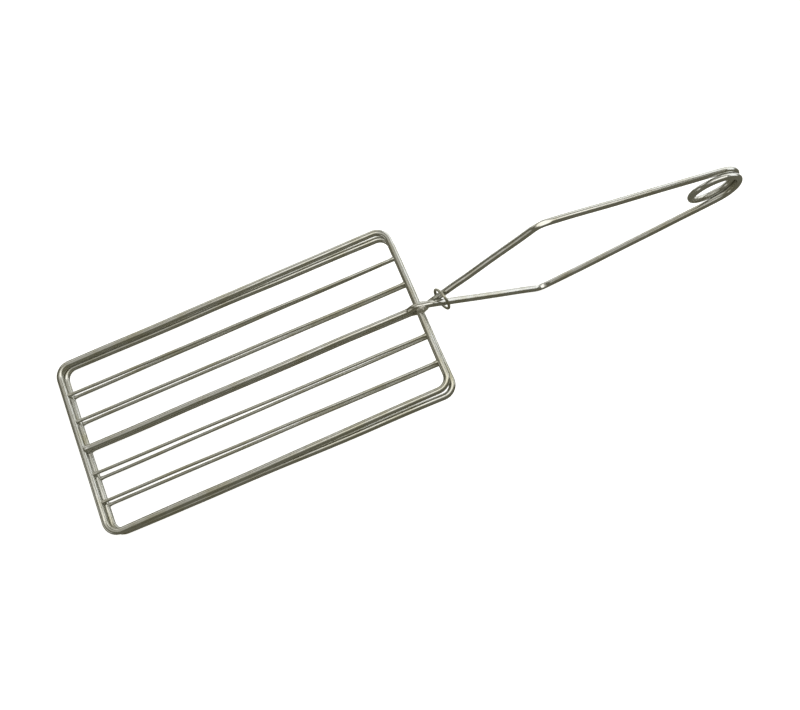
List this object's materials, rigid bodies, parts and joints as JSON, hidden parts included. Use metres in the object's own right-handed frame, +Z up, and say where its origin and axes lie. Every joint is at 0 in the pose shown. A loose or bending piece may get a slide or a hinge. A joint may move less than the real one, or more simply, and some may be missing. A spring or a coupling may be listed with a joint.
{
  "type": "toast tongs",
  "caption": "Double toasting tongs: two flat wire grids closed on each other, one sprung wire handle with a coil at its end, loose neck ring.",
  "frame": {"origin": "centre of the footprint on the table, under the closed tongs as they lie at rest on the free end of the lower grid and on the lower elbow of the handle", "axes": "+X from the free end of the grids towards the coil, +Y across the bars, +Z up; the grids rise 9.38 degrees towards the handle, which points 0.9 degrees to the side of -Y"},
  "size_m": [0.4368, 0.117, 0.1088],
  "materials": {
    "frame_wire": "polished stainless steel wire, slightly drawn along its length",
    "handle_wire": "polished stainless spring wire",
    "bar_wire": "thin bright drawn wire, a little heat tint at the welded ends",
    "ring_wire": "thin drawn wire, duller than the frame",
    "weld": "brushed weld bead"
  },
  "bodies": {
    "lower_jaw": {"lower_frame_wire": "frame_wire", "lower_handle_wire": "handle_wire", "lower_bar_1": "bar_wire", "lower_bar_2": "bar_wire", "lower_bar_3": "bar_wire", "lower_bar_4": "bar_wire", "lower_neck_weld": "weld", "spring_coil": "handle_wire"},
    "upper_jaw": {"upper_frame_wire": "frame_wire", "upper_handle_wire": "handle_wire", "upper_bar_1": "bar_wire", "upper_bar_2": "bar_wire", "upper_bar_3": "bar_wire", "upper_bar_4": "bar_wire", "upper_neck_weld": "weld"},
    "neck_ring": {"neck_ring": "ring_wire"}
  },
  "joints": [
    {"name": "coil_hinge", "type": "hinge", "parent": "lower_jaw", "child": "upper_jaw", "pos_m": [0.20103, -0.00285, 0.07299], "axis": [0.0155, 0.9999, 0.0026], "range_deg": [0, 12], "stiffness_Nm_per_rad": 8.7, "springref_deg": -6.88},
    {"name": "ring_slide", "type": "slide", "parent": "lower_jaw", "child": "neck_ring", "axis": [0.6586, -0.0121, 0.7524], "range_m": [0, 0.02684]}
  ],
  "couplings": [
    {"joint": "ring_slide", "follows": "coil_hinge", "m_per_rad": 0.12718}
  ]
}
